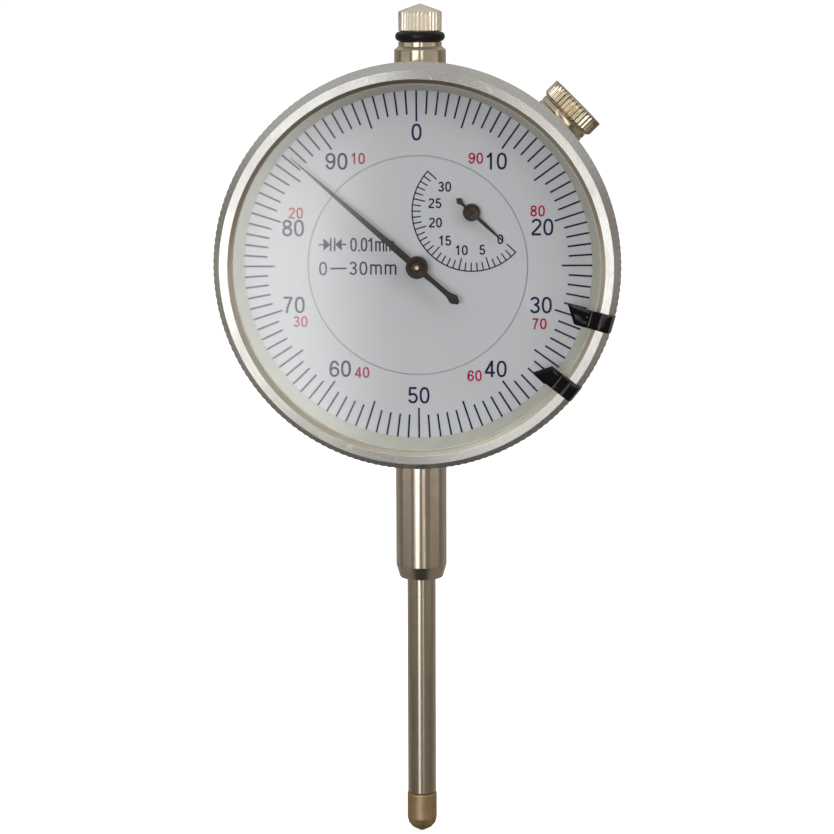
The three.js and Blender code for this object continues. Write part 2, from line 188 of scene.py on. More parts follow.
def plate(name, outlines, d0, d1, mat, holes=(), angle=32.0, bevel=0.0, axis="Y", segments=2):
    """Flat piece from (x, z) outlines, thick along d (axis Y), or from (d, z) outlines, thick
    along x (axis X). All outlines go into one mesh."""
    bm = bmesh.new()

    def P(u, v, w):
        return W([(u, w, v)])[0] if axis == "Y" else W([(w, u, v)])[0]

    for out in outlines:
        loops = [out] + list(holes)
        edges = []
        for loop in loops:
            vs = [bm.verts.new(P(u, v, d0)) for u, v in loop]
            for a in range(len(vs)):
                edges.append(bm.edges.new((vs[a], vs[(a + 1) % len(vs)])))
        r = bmesh.ops.triangle_fill(bm, use_beauty=True, use_dissolve=False, edges=edges)
        fs = [g for g in r["geom"] if isinstance(g, bmesh.types.BMFace)]
        ex = bmesh.ops.extrude_face_region(bm, geom=fs)
        mv = [g for g in ex["geom"] if isinstance(g, bmesh.types.BMVert)]
        off = (P(0, 0, d1) - P(0, 0, d0))
        bmesh.ops.translate(bm, verts=mv, vec=Vector(off))
    bmesh.ops.recalc_face_normals(bm, faces=bm.faces)
    me = bpy.data.meshes.new(name)
    bm.to_mesh(me)
    bm.free()
    o = bpy.data.objects.new(name, me)
    bpy.context.scene.collection.objects.link(o)
    me.materials.append(mat)
    if bevel > 0:
        md = o.modifiers.new("edge", "BEVEL")
        md.width = bevel / 1000
        md.segments = segments
        md.limit_method = "ANGLE"
        md.angle_limit = math.radians(30)
        bake(o)
    sharpen(o.data, angle)
    return o


def bake(o):
    """Applies the modifiers."""
    dg = bpy.context.evaluated_depsgraph_get()
    me = bpy.data.meshes.new_from_object(o.evaluated_get(dg), depsgraph=dg)
    old = o.data
    o.modifiers.clear()
    o.data = me
    me.name = o.name
    bpy.data.meshes.remove(old)
    return o


def boolean(o, tools, op="DIFFERENCE", angle=32.0):
    for t in tools:
        md = o.modifiers.new("b", "BOOLEAN")
        md.operation = op
        md.solver = "EXACT"
        md.object = t
    bake(o)
    for t in tools:
        me = t.data
        bpy.data.objects.remove(t)
        bpy.data.meshes.remove(me)
    sharpen(o.data, angle)
    return o


def circle(r, n, x=0.0, z=0.0, a0=0.0):
    return [(x + r * math.cos(a0 + 2 * math.pi * i / n), z + r * math.sin(a0 + 2 * math.pi * i / n)) for i in range(n)]


def spun(pts, deg, x=0.0, z=0.0):
    c, s = math.cos(math.radians(deg)), math.sin(math.radians(deg))
    return [(x + a * c - b * s, z + a * s + b * c) for a, b in pts]


def put(o, body, node=()):
    if node:
        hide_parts(*([node] if isinstance(node, str) else node))
    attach(o, body)
    return o


# ------------------------------------------------------------------ materials
def new_mat(name):
    m = bpy.data.materials.new(name)
    m.use_nodes = True
    nt = m.node_tree
    nt.nodes.clear()
    out = nt.nodes.new("ShaderNodeOutputMaterial")
    return m, nt, out


def N(nt, kind, **kw):
    n = nt.nodes.new(kind)
    for k, v in kw.items():
        setattr(n, k, v)
    return n


def ramp(nt, fac, stops):
    n = nt.nodes.new("ShaderNodeValToRGB")
    el = n.color_ramp.elements
    while len(el) < len(stops):
        el.new(0.5)
    for e, (p, c) in zip(el, stops):
        e.position = p
        e.color = (c, c, c, 1) if isinstance(c, (int, float)) else (*c, 1)
    nt.links.new(fac, n.inputs[0])
    return n.outputs[0]


def coords(nt, axis):
    """Position in millimetres, as (along, radial, turn) for a turned piece, so that noise can be
    stretched round it; plain for axis None."""
    tc = N(nt, "ShaderNodeTexCoord")
    sc = N(nt, "ShaderNodeVectorMath", operation="SCALE")
    sc.inputs["Scale"].default_value = 1000.0
    nt.links.new(tc.outputs["Object"], sc.inputs[0])
    if axis is None:
        return sc.outputs[0]
    sub = N(nt, "ShaderNodeVectorMath", operation="SUBTRACT")
    sub.inputs[1].default_value = (0, -STEM_D, DIAL_Z) if axis == "Y" else (0, 0, 0)
    nt.links.new(sc.outputs[0], sub.inputs[0])
    src = sub.outputs[0]
    if axis == "C":
        rot = N(nt, "ShaderNodeVectorRotate", rotation_type="Y_AXIS")
        sub.inputs[1].default_value = (0, 0, DIAL_Z)
        rot.inputs["Angle"].default_value = -math.radians(45)
        nt.links.new(src, rot.inputs["Vector"])
        src = rot.outputs[0]
    sep = N(nt, "ShaderNodeSeparateXYZ")
    nt.links.new(src, sep.inputs[0])
    if axis == "Y":
        a, b, h = sep.outputs[0], sep.outputs[2], sep.outputs[1]
    else:
        a, b, h = sep.outputs[0], sep.outputs[1], sep.outputs[2]
    # length of (a, b)
    comb0 = N(nt, "ShaderNodeCombineXYZ")
    nt.links.new(a, comb0.inputs[0])
    nt.links.new(b, comb0.inputs[1])
    ln = N(nt, "ShaderNodeVectorMath", operation="LENGTH")
    nt.links.new(comb0.outputs[0], ln.inputs[0])
    at = N(nt, "ShaderNodeMath", operation="ARCTAN2")
    nt.links.new(a, at.inputs[0])
    nt.links.new(b, at.inputs[1])
    comb = N(nt, "ShaderNodeCombineXYZ")
    nt.links.new(h, comb.inputs[0])
    nt.links.new(ln.outputs["Value"], comb.inputs[1])
    nt.links.new(at.outputs[0], comb.inputs[2])
    return comb.outputs[0]


def noise(nt, vec, scale, detail=4.0, rough=0.55, stretch=None, distortion=0.0):
    src = vec
    if stretch is not None:
        mp = N(nt, "ShaderNodeVectorMath", operation="MULTIPLY")
        mp.inputs[1].default_value = stretch
        nt.links.new(vec, mp.inputs[0])
        src = mp.outputs[0]
    n = N(nt, "ShaderNodeTexNoise")
    n.inputs["Scale"].default_value = scale
    n.inputs["Detail"].default_value = detail
    n.inputs["Roughness"].default_value = rough
    n.inputs["Distortion"].default_value = distortion
    nt.links.new(src, n.inputs["Vector"])
    return n.outputs["Fac"]


def mix_rgb(nt, fac, a, b):
    m = N(nt, "ShaderNodeMix", data_type="RGBA")
    if hasattr(fac, "is_linked"):
        nt.links.new(fac, m.inputs[0])
    else:
        m.inputs[0].default_value = fac
    for sock, v in ((m.inputs[6], a), (m.inputs[7], b)):
        if hasattr(v, "is_linked"):
            nt.links.new(v, sock)
        else:
            sock.default_value = (*v, 1)
    return m.outputs[2]


def mrange(nt, v, a, b, c, d):
    m = N(nt, "ShaderNodeMapRange")
    m.inputs[1].default_value, m.inputs[2].default_value = a, b
    m.inputs[3].default_value, m.inputs[4].default_value = c, d
    nt.links.new(v, m.inputs[0])
    return m.outputs[0]


def add_bump(nt, bsdf, height, strength, distance, prev=None):
    b = N(nt, "ShaderNodeBump")
    b.inputs["Strength"].default_value = strength
    b.inputs["Distance"].default_value = distance / 1000.0
    nt.links.new(height, b.inputs["Height"])
    if prev is not None:
        nt.links.new(prev, b.inputs["Normal"])
    nt.links.new(b.outputs[0], bsdf.inputs["Normal"])
    return b.outputs[0]


def srgb(h):
    c = [int(h[i : i + 2], 16) / 255 for i in (0, 2, 4)]
    return tuple(x / 12.92 if x <= 0.04045 else ((x + 0.055) / 1.055) ** 2.4 for x in c)


def metal(name, col, col2, rough, rough2, axis=None, brush=0.35, blotch=0.25, bump=0.06, scratches=0.0, aniso=0.0, metallic=1.0):
    m, nt, out = new_mat(name)
    b = N(nt, "ShaderNodeBsdfPrincipled")
    nt.links.new(b.outputs[0], out.inputs[0])
    b.inputs["Metallic"].default_value = metallic
    if aniso and axis in ("Y", "Z"):
        b.inputs["Anisotropic"].default_value = aniso
        b.inputs["Anisotropic Rotation"].default_value = 0.25
        tg = N(nt, "ShaderNodeTangent", direction_type="RADIAL", axis=axis)
        nt.links.new(tg.outputs[0], b.inputs["Tangent"])
    vec = coords(nt, axis)
    plain = coords(nt, None)
    # turning marks run round the piece: fine along and across, long in the turn
    if axis is not None:
        marks = noise(nt, vec, 1.0, 5.0, 0.65, stretch=(14.0, 14.0, 0.9))
    else:
        marks = noise(nt, plain, 5.0, 5.0, 0.6)
    cloud = noise(nt, plain, blotch, 5.0, 0.6)
    fine = noise(nt, plain, 9.0, 3.0, 0.7)
    c = mix_rgb(nt, mrange(nt, cloud, 0.35, 0.65, 0.0, 1.0), col, col2)
    c = mix_rgb(nt, mrange(nt, marks, 0.3, 0.7, 0.0, brush), c, tuple(x * 0.72 for x in col2))
    nt.links.new(c, b.inputs["Base Color"])
    r = N(nt, "ShaderNodeMath", operation="ADD")
    nt.links.new(mrange(nt, marks, 0.3, 0.7, rough, rough2), r.inputs[0])
    nt.links.new(mrange(nt, cloud, 0.3, 0.7, -0.03, 0.04), r.inputs[1])
    nt.links.new(r.outputs[0], b.inputs["Roughness"])
    nrm = add_bump(nt, b, marks, bump, 0.02)
    nrm = add_bump(nt, b, fine, bump * 0.6, 0.02, nrm)
    if scratches > 0:
        v = N(nt, "ShaderNodeTexVoronoi", feature="DISTANCE_TO_EDGE")
        v.inputs["Scale"].default_value = 0.7
        w = N(nt, "ShaderNodeVectorMath", operation="MULTIPLY")
        w.inputs[1].default_value = (1.0, 1.0, 0.35)
        nt.links.new(plain, w.inputs[0])
        nt.links.new(w.outputs[0], v.inputs["Vector"])
        line = mrange(nt, v.outputs["Distance"], 0.0, 0.012, 1.0, 0.0)
        gate = mrange(nt, noise(nt, plain, 0.5, 2.0), 0.52, 0.6, 0.0, 1.0)
        mu = N(nt, "ShaderNodeMath", operation="MULTIPLY")
        nt.links.new(line, mu.inputs[0])
        nt.links.new(gate, mu.inputs[1])
        add_bump(nt, b, mu.outputs[0], scratches, 0.03, nrm)
    return m


def plastic(name, col, col2, rough, coat=0.0, scale=3.0, bump=0.02, spec=0.5):
    m, nt, out = new_mat(name)
    b = N(nt, "ShaderNodeBsdfPrincipled")
    nt.links.new(b.outputs[0], out.inputs[0])
    b.inputs["Specular IOR Level"].default_value = spec
    if coat:
        b.inputs["Coat Weight"].default_value = coat
        b.inputs["Coat Roughness"].default_value = 0.06
    vec = coords(nt, None)
    cl = noise(nt, vec, scale * 0.2, 4.0)
    fi = noise(nt, vec, scale * 4, 4.0, 0.6)
    c = mix_rgb(nt, mrange(nt, cl, 0.3, 0.7, 0, 1), col, col2)
    nt.links.new(c, b.inputs["Base Color"])
    nt.links.new(mrange(nt, fi, 0.3, 0.7, rough * 0.85, rough * 1.15), b.inputs["Roughness"])
    add_bump(nt, b, fi, bump, 0.02)
    return m


NICKEL = metal("satin_nickel_turned", srgb("e4dac9"), srgb("d8ccb8"), 0.10, 0.16, "Z", 0.2, 0.3, 0.03)
KNOB = metal("satin_nickel_knob", srgb("fbf5e8"), srgb("f0e6d2"), 0.12, 0.18, "Z", 0.15, 0.3, 0.02, metallic=0.82)
# a rougher copy of the turned nickel with a slightly lighter colour, for faces that look up: a rougher finish plus
# painted light on the sleeve's shoulder
NICKEL_SOFT_TOP_LIT = metal("satin_nickel_soft_top_lit", srgb("e8ddca"), srgb("dccfba"), 0.42, 0.5, "Z", 0.15, 0.3, 0.02)
NICKEL_C = metal("satin_nickel_clamp", srgb("eee2cd"), srgb("dfd0b8"), 0.11, 0.17, "C", 0.2, 0.3, 0.03)
BEZEL = metal("satin_nickel_bezel", srgb("edeeee"), srgb("e3e4e4"), 0.25, 0.30, "Y", 0.12, 0.22, 0.008, scratches=0.25, aniso=0.95)
BEVEL = metal("satin_nickel_bevel", srgb("efe9de"), srgb("e4ddd0"), 0.30, 0.36, "Y", 0.15, 0.3, 0.02)
STEEL = metal("ground_steel_turned", srgb("e0d8cc"), srgb("d5ccbe"), 0.13, 0.19, "Z", 0.18, 0.35, 0.03, aniso=0.6)
TIP = metal("hardened_steel", srgb("d9c29e"), srgb("c8b08a"), 0.42, 0.52, "Z", 0.25, 0.8, 0.05)
CARBIDE = metal("polished_carbide", srgb("6a5c4d"), srgb("554a3e"), 0.1, 0.16, "Z", 0.2, 0.8, 0.02)
STEEL_FREE = metal("machined_steel", srgb("c9c5be"), srgb("b0aca5"), 0.25, 0.4, None, 0.3, 0.5, 0.06)
ALU = metal("cast_aluminium_satin", srgb("c6c6c4"), srgb("b4b4b2"), 0.38, 0.5, None, 0.15, 0.6, 0.12)
BRASS = metal("machined_brass", srgb("d8b26a"), srgb("b98f48"), 0.25, 0.38, None, 0.35, 0.5, 0.06)
BRASS_DOT = metal("arbor_brass", srgb("fff0d0"), srgb("f0dcb4"), 0.35, 0.45, None, 0.1, 2.0, 0.03)
HUB = metal("hub_bronze_dark", srgb("4a3f38"), srgb("3a302a"), 0.22, 0.32, None, 0.3, 2.0, 0.04)
HAND = plastic("pointer_black_enamel", srgb("1a191b"), srgb("121113"), 0.42, 0.0, 3.0, 0.03, 0.3)
BLACK = plastic("clip_gloss_black", srgb("070708"), srgb("040405"), 0.06, 0.0, 2.0, 0.01, 0.32)
RUBBER = plastic("o_ring_rubber", srgb("0b0b0b"), srgb("060606"), 0.3, 0.0, 6.0, 0.05, 0.35)
GASKET = plastic("spacer_grey_green", srgb("cacac0"), srgb("c1c2b7"), 0.5, 0.0, 2.0, 0.03, 0.4)
INK = plastic("ink_navy", srgb("100b46"), srgb("0c083a"), 0.6, 0.0, 8.0, 0.03, 0.15)
RED = plastic("ink_red", srgb("ab1244"), srgb("9c0e3c"), 0.6, 0.0, 8.0, 0.03, 0.15)


def dial_material():
    m, nt, out = new_mat("dial_satin_paint")
    b = N(nt, "ShaderNodeBsdfPrincipled")
    nt.links.new(b.outputs[0], out.inputs[0])
    vec = coords(nt, None)
    cl = noise(nt, vec, 0.05, 3.0)
    gr = noise(nt, vec, 14.0, 4.0, 0.7)
    c = mix_rgb(nt, mrange(nt, cl, 0.3, 0.7, 0, 1), srgb("bfc1c9"), srgb("b9bbc3"))
    c = mix_rgb(nt, mrange(nt, gr, 0.35, 0.65, 0, 0.18), c, srgb("a8abb4"))
    # a few specks of dust
    v = N(nt, "ShaderNodeTexVoronoi", feature="F1")
    v.inputs["Scale"].default_value = 0.22
    v.inputs["Randomness"].default_value = 1.0
    nt.links.new(vec, v.inputs["Vector"])
    speck = mrange(nt, v.outputs["Distance"], 0.012, 0.03, 0.35, 0.0)
    c = mix_rgb(nt, speck, c, srgb("8b8e94"))
    nt.links.new(c, b.inputs["Base Color"])
    nt.links.new(mrange(nt, gr, 0.3, 0.7, 0.42, 0.55), b.inputs["Roughness"])
    add_bump(nt, b, gr, 0.04, 0.01)
    return m


DIAL = dial_material()


def glass_material():
    m, nt, out = new_mat("crystal_clear")
    t = N(nt, "ShaderNodeBsdfTransparent")
    t.inputs[0].default_value = (0.985, 0.99, 0.985, 1)
    g = N(nt, "ShaderNodeBsdfGlossy")
    g.inputs["Color"].default_value = (1, 1, 1, 1)
    vec = coords(nt, None)
    wob = noise(nt, vec, 0.08, 2.0)
    nt.links.new(mrange(nt, wob, 0.3, 0.7, 0.02, 0.05), g.inputs["Roughness"])
    # the same reflectance on both faces: clear straight on, a mirror only at grazing angles
    lw = N(nt, "ShaderNodeLayerWeight")
    lw.inputs["Blend"].default_value = 0.5
    pw = N(nt, "ShaderNodeMath", operation="POWER")
    nt.links.new(lw.outputs["Facing"], pw.inputs[0])
    pw.inputs[1].default_value = 5.0
    fr = N(nt, "ShaderNodeMath", operation="MULTIPLY_ADD")
    nt.links.new(pw.outputs[0], fr.inputs[0])
    fr.inputs[1].default_value = 0.96
    fr.inputs[2].default_value = 0.039
    mx = N(nt, "ShaderNodeMixShader")
    nt.links.new(fr.outputs[0], mx.inputs[0])
    nt.links.new(t.outputs[0], mx.inputs[1])
    nt.links.new(g.outputs[0], mx.inputs[2])
    nt.links.new(mx.outputs[0], out.inputs[0])
    return m


GLASS = glass_material()

CASE = "body_case"
BZ = "body_bezel"
PL = "body_plunger"

# ------------------------------------------------------------------ bezel
TEETH = 180


def tri(x):
    x = x % 1.0
    return 1 - abs(2 * x - 1)


def sstep(x, a, b):
    t = np.clip((x - a) / (b - a), 0, 1)
    return t * t * (3 - 2 * t)


def bezel_r(r, h, th):
    if r < 30.3 or h > 0.7:
        return np.full(len(th), r)
    w = float(sstep(h, -3.42, -3.2) * (1 - sstep(h, 0.15, 0.35)))
    t = np.abs(((th * TEETH / (2 * math.pi)) % 1.0) * 2 - 1)
    return r - w * 0.16 * (1 - np.clip(t * 1.25 - 0.08, 0, 1))


bez = fillet(
    [
        (28.5, -5.7, 0.1), (29.8, -5.7, 0.1), (30.86, -3.42, 0), (30.96, -3.3, 0), (30.96, -3.2, 0), (30.96, -2.2, 0), (30.96, -1.0, 0),
        (30.96, 0.15, 0), (30.96, 0.35, 0), (30.86, 0.5, 0), (30.2, 0.95, 0.1), (30.2, 4.0, 0.2), (29.3, 4.0, 0.1), (29.3, 2.05), (27.3, 2.05),
        (27.3, 0.6), (28.35, 0.6), (28.35, -5.28), (27.9, -5.28), (27.9, -5.36, 0.02),
    ]
)
o = lathe("bezel_ring", bez, TEETH * (8), BEZEL, "Y", rfun=bezel_r, angle=28)
o.data.materials.append(BEVEL)
for f in o.data.polygons:
    c = f.center * 1000
    rr = math.hypot(c.x, c.z - DIAL_Z)
    if rr < 28.52 and c.y + STEM_D < -5.25:
        f.material_index = 1
put(o, BZ, "bezel")

o = lathe(
    "crystal_disc",
    fillet([(0, -5.2), (27.9, -5.2), (28.22, -5.2, 0.1), (28.22, -4.2, 0.05), (27.9, -4.2), (0, -4.2)], closed=False),
    256, GLASS, "Y",
)
put(o, BZ, "crystal")
o = lathe("spacer_cone", fillet([(26.6, -0.06, 0.03), (27.75, -4.12, 0.08), (28.25, -4.12), (28.25, -0.06)]), 256, GASKET, "Y")
put(o, BZ, "spacer_ring")
o = lathe("scale_ring_plate", fillet([(16.84, 0.0, 0.05), (28.2, 0, 0.05), (28.2, 0.5), (17.15, 0.5), (17.15, 0.25), (16.84, 0.25)]), 360, DIAL, "Y")
put(o, BZ, "scale_ring")
o = lathe("inner_dial_plate", fillet([(0.8, 0.5), (0.8, 0, 0.05), (16.7, 0, 0.06), (16.7, 0.3), (17.05, 0.3), (17.05, 0.5)]), 360, DIAL, "Y")
put(o, CASE, "inner_dial")

# ------------------------------------------------------------------ printing
PRINT_D0, PRINT_D1 = -0.012, 0.004


def ribbon(pts, width, closed=False, cap=True):
    """A stroke of constant width round a centre line, as quads."""
    p = np.array(pts, float)
    n = len(p)
    if closed:
        t = np.roll(p, -1, 0) - np.roll(p, 1, 0)
    else:
        t = np.gradient(p, axis=0)
    t /= np.linalg.norm(t, axis=1)[:, None] + 1e-12
    nr = np.stack([-t[:, 1], t[:, 0]], 1)
    # keep the width true at corners
    if n > 2:
        seg = np.roll(p, -1, 0) - p
        seg /= np.linalg.norm(seg, axis=1)[:, None] + 1e-12
        if not closed:
            seg[-1] = seg[-2]
        prev = np.roll(seg, 1, 0)
        if not closed:
            prev[0] = seg[0]
        c = np.clip((prev * seg).sum(1), -1, 1)
        k = 1 / np.sqrt(np.clip((1 + c) / 2, 0.12, 1))
    else:
        k = np.ones(n)
    a = p + nr * (width / 2 * k)[:, None]
    b = p - nr * (width / 2 * k)[:, None]
    quads = []
    for i in range(n if closed else n - 1):
        j = (i + 1) % n
        quads.append([tuple(a[i]), tuple(b[i]), tuple(b[j]), tuple(a[j])])
    return quads


def arc(cx, cy, rx, ry, a0, a1, n=14, p=2.0):
    out = []
    for i in range(n + 1):
        t = math.radians(a0 + (a1 - a0) * i / n)
        c, s = math.cos(t), math.sin(t)
        out.append((cx + rx * math.copysign(abs(c) ** (2 / p), c), cy + ry * math.copysign(abs(s) ** (2 / p), s)))
    return out


# strokes on a box 1 high; s is half the stroke, so outlines reach the box
def glyph(ch, s=0.06, wide=0.60):
    h = 0.5 - s  # half height of a centre line
    w = wide / 2 - s
    T, B = 1 - s, s
    if ch == "0":
        return [(arc(0, 0.5, w, h, 90, 450, 40, 2.35)[:-1], True)]
    if ch == "1":
        x = 0.06
        return [([(x, 0), (x, 1)], False), (arc(x - 0.30, 1.0, 0.28, 0.26, -78, -6, 6), False)]
    if ch == "2":
        top = arc(0, 0.715, w, T - 0.715, 168, -22, 18)
        x1, y1 = top[-1]
        curve = [(x1 - 0.05 - (x1 + w - 0.05) * k ** 1.0, y1 - 0.07 - (y1 - 0.07 - B - 0.06) * k ** 0.95) for k in (0.1, 0.25, 0.4, 0.55, 0.7, 0.85, 1.0)]
        return [(top + curve + [(-w + 0.0, B)], False), ([(-w - s * 0.6, B), (w + s * 0.6, B)], False)]
    if ch == "3":
        up = arc(-0.01, 0.735, w - 0.02, T - 0.735, 165, -78, 18)
        lo = arc(-0.01, 0.285, w, 0.285 - B, 84, -165, 20)
        return [(up, False), (lo, False), ([(-0.06, 0.525), (0.03, 0.525)], False)]
    if ch == "4":
        x = 0.12
        return [([(x, 0), (x, 1)], False), ([(x + 0.01, 1 - s * 0.4), (-w - 0.02, 0.30), (-w - 0.02, 0.285)], False), ([(-w - 0.07, 0.27), (w + 0.07, 0.27)], False)]
    if ch == "5":
        bowl = arc(-0.005, 0.325, w + 0.005, 0.325 - B, 142, -162, 24)
        return [(bowl, False), ([bowl[0], (-w + 0.055, T)], False), ([(-w + 0.02, T), (w - 0.01, T)], False)]
    if ch == "6":
        ring = arc(0.005, 0.31, w, 0.31 - B, 90, 450, 32)[:-1]
        tail = [(-w + 0.005, 0.31)] + arc(0.02, 0.47, w + 0.015, T - 0.47, 180, 28, 18)
        return [(ring, True), (tail, False)]
    if ch == "7":
        c = [(w, T), (w * 0.5, 0.74), (w * 0.1, 0.5), (-w * 0.25, 0.22), (-w * 0.36, 0.0)]
        return [([(-w - s * 0.5, T), (w + s * 0.3, T)], False), (c, False)]
    if ch == "8":
        return [(arc(0, 0.745, w - 0.025, T - 0.745, 90, 450, 28)[:-1], True), (arc(0, 0.29, w, 0.29 - B, 90, 450, 32)[:-1], True)]
    if ch == "9":
        return [([(-a, 1 - b) for a, b in pts], cl) for pts, cl in glyph("6", s, wide)]
    if ch == ".":
        return [([(0, 0), (0, 0.125)], False)]
    if ch == "m":
        # x height 1 here
        q = wide / 2 - s
        left = arc(-q / 2, 1 - s - 0.22, q / 2, 0.22, 180, 0, 10, 2.4)
        right = arc(q / 2, 1 - s - 0.22, q / 2, 0.22, 180, 0, 10, 2.4)
        return [([(-q, 0), (-q, 1)], False), (left + [(0, 0)], False), (right + [(q, 0)], False)]
    raise ValueError(ch)


def write(ch, x, z, height, stroke, wide=0.60, out=None, turn=0.0):
    """Glyph centred on x, z."""
    quads = []
    s = stroke / height / 2
    for pts, closed in glyph(ch, s, wide):
        if ch == ".":
            q = ribbon(pts, s * 2.6)
        else:
            q = ribbon(pts, 2 * s, closed)
        for quad in q:
            quads.append([(x + u * height, z + (v - 0.5) * height) for u, v in quad])
    out += quads


def number(text, x, z, height, stroke, out, pitch=0.70):
    n = len(text)
    for i, ch in enumerate(text):
        write(ch, x + (i - (n - 1) / 2) * pitch * height, z, height, stroke, out=out)


def printed(name, quads, mat, body):
    verts, faces = [], []
    for q in quads:
        area = 0.5 * sum(q[i][0] * q[(i + 1) % len(q)][1] - q[(i + 1) % len(q)][0] * q[i][1] for i in range(len(q)))
        if abs(area) < 1e-9:
            continue
        if area < 0:
            q = q[::-1]
        k, n = len(verts), len(q)
        verts += [(x, PRINT_D0, z) for x, z in q] + [(x, PRINT_D1, z) for x, z in q]
        faces.append([k + i for i in range(n)])
        faces.append([k + n + i for i in range(n)][::-1])
        for i in range(n):
            j = (i + 1) % n
            faces.append([k + j, k + i, k + n + i, k + n + j])
    me = bpy.data.meshes.new(name)
    me.from_pydata(W(verts).tolist(), [], faces)
    me.materials.append(mat)
    ob = bpy.data.objects.new(name, me)
    bpy.context.scene.collection.objects.link(ob)
    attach(ob, body)
    return ob


PX = 6.542  # photo pixels per millimetre on the dial, to keep the sizes below readable
dark, red = [], []
R_TICK = 26.58
for i in range(100):
    a = math.radians(3.6 * i + 0.33 * -1)
    ln = 30.3 / PX if i % 5 == 0 else 23.2 / PX
    d = np.array([math.sin(a), math.cos(a)])
    dark += ribbon([tuple(d * (R_TICK + 0.35)), tuple(d * (R_TICK - ln / 2)), tuple(d * (R_TICK - ln))], 0.285)
MAIN = {
    "0": (416.6, 134.0), "10": (495.2, 162.6), "20": (541.5, 228.0), "30": (540.4, 306.0), "40": (495.5, 370.6),
    "50": (418.0, 397.8), "60": (338.9, 371.1), "70": (292.9, 306.6), "80": (292.9, 229.4), "90": (336.9, 162.9),
}
REDS = {
    "90": (475.3, 159.8), "80": (536.7, 212.0), "70": (539.0, 324.8), "60": (474.2, 377.6), "40": (361.1, 374.8),
    "30": (299.3, 323.4), "20": (295.7, 214.5), "10": (358.0, 160.1),
}
DC = (417.37, 267.04)


def dial_mm(px, pz):
    return (px - DC[0]) / PX, (DC[1] - pz) / PX


for t, (px, pz) in MAIN.items():
    x, z = dial_mm(px, pz)
    number(t, x, z, 16.8 / PX, 2.25 / PX, dark)
for t, (px, pz) in REDS.items():
    x, z = dial_mm(px, pz)
    number(t, x, z, 11.2 / PX, 1.75 / PX, red)
printed("scale_print_dark", dark, INK, BZ)
printed("scale_print_red", red, RED, BZ)

inner = []
CX, CZ = 8.25, 8.28
R_ARC = 59.4 / PX
A0 = 132.6  # clockwise from up, where the small scale starts
arc_pts = []
for k in range(121):
    a = math.radians(A0 + 180 * k / 120)
    arc_pts.append((CX + R_ARC * math.sin(a), CZ + R_ARC * math.cos(a)))
inner += ribbon(arc_pts, 0.2)
for k in range(31):
    a = math.radians(A0 + 6 * k)
    ln = 12.0 / PX if k % 5 == 0 else 8.5 / PX
    d = np.array([math.sin(a), math.cos(a)])
    c = np.array([CX, CZ])
    inner += ribbon([tuple(c + d * (R_ARC + (0.1 if k in (0, 30) else 0))), tuple(c + d * (R_ARC - ln / 2)), tuple(c + d * (R_ARC - ln))], 0.2)
for t, (px, pz) in {
    "30": (444.4, 188.0), "25": (434.7, 204.4), "20": (435.2, 223.7), "15": (444.4, 241.7), "10": (460.9, 251.2),
    "5": (481.8, 250.8), "0": (499.8, 240.2),
}.items():
    x, z = dial_mm(px, pz)
    number(t, x, z, 10.0 / PX, 1.6 / PX, inner)


def at(ch, px, pz, hpx, wpx, spx, out):
    x, z = dial_mm(px, pz)
    write(ch, x, z, hpx / PX, spx / PX, wide=wpx / hpx, out=out)


ZY = 245.8
at("0", 353.3, ZY, 13.7, 6.8, 1.75, inner)
at(".", 359.0, ZY, 13.7, 3.0, 1.7, inner)
at("0", 363.8, ZY, 13.7, 6.8, 1.75, inner)
at("1", 370.4, ZY, 13.7, 6.4, 1.75, inner)
at("m", 379.5, ZY + 1.55, 10.4, 9.2, 1.65, inner)
at("m", 389.8, ZY + 1.55, 10.4, 9.2, 1.65, inner)
ZY = 270.0
at("0", 322.6, ZY, 13.7, 8.0, 1.8, inner)
at("3", 352.8, ZY - 0.4, 13.7, 7.8, 1.8, inner)
at("0", 363.0, ZY - 0.4, 13.7, 8.0, 1.8, inner)
at("m", 375.6, ZY + 0.6, 10.4, 11.8, 1.7, inner)
at("m", 390.2, ZY + 0.6, 10.4, 11.8, 1.7, inner)


def line(x0, z0, x1, z1, wpx, out):
    a, b = dial_mm(x0, z0), dial_mm(x1, z1)
    out += ribbon([a, ((a[0] + b[0]) / 2, (a[1] + b[1]) / 2), b], wpx / PX)


line(329.7, 270.0, 346.2, 269.6, 1.75, inner)
# the tolerance symbol: two arrows meeting two bars
ZY = 245.8
line(318.5, ZY + 0.3, 325.0, ZY + 0.2, 1.4, inner)
line(339.0, ZY, 346.2, ZY - 0.1, 1.4, inner)
for x in (330.4, 334.4):
    line(x, ZY - 6.7, x, ZY + 6.7, 1.7, inner)
for tri_px in (((323.2, ZY + 6.4), (330.0, ZY), (323.2, ZY - 6.4)), ((341.5, ZY + 6.2), (334.9, ZY), (341.5, ZY - 6.2))):
    inner.append([dial_mm(*p) for p in tri_px])
printed("inner_print_dark", inner, INK, CASE)

# ------------------------------------------------------------------ hands
MAIN_DEG = 49.0
HPX = 6.58
blade = [
    (-0.54, 1.0), (-0.52, 4.6), (-0.44, 5.4), (-0.40, 9.5), (-0.36, 12.5), (-0.27, 16.8), (-0.165, 21.2), (-0.05, 25.35), (0.05, 25.35), (0.165, 21.2),
    (0.27, 16.8), (0.36, 12.5), (0.40, 9.5), (0.45, 5.75), (0.63, 5.5), (0.64, 5.25), (0.52, 4.9), (0.54, 1.0),
    (0.44, -1.4), (0.36, -3.2), (0.38, -5.0), (0.43, -6.2), (0.80, -7.4), (0.22, -8.35), (-0.22, -8.35), (-0.80, -7.4), (-0.43, -6.2), (-0.38, -5.0), (-0.36, -3.2), (-0.44, -1.4),
]
o = plate("main_pointer_blade", [spun(blade, MAIN_DEG)], -2.5, -2.22, HAND, bevel=0.05)
put(o, "body_centre_arbor", "main_pointer")
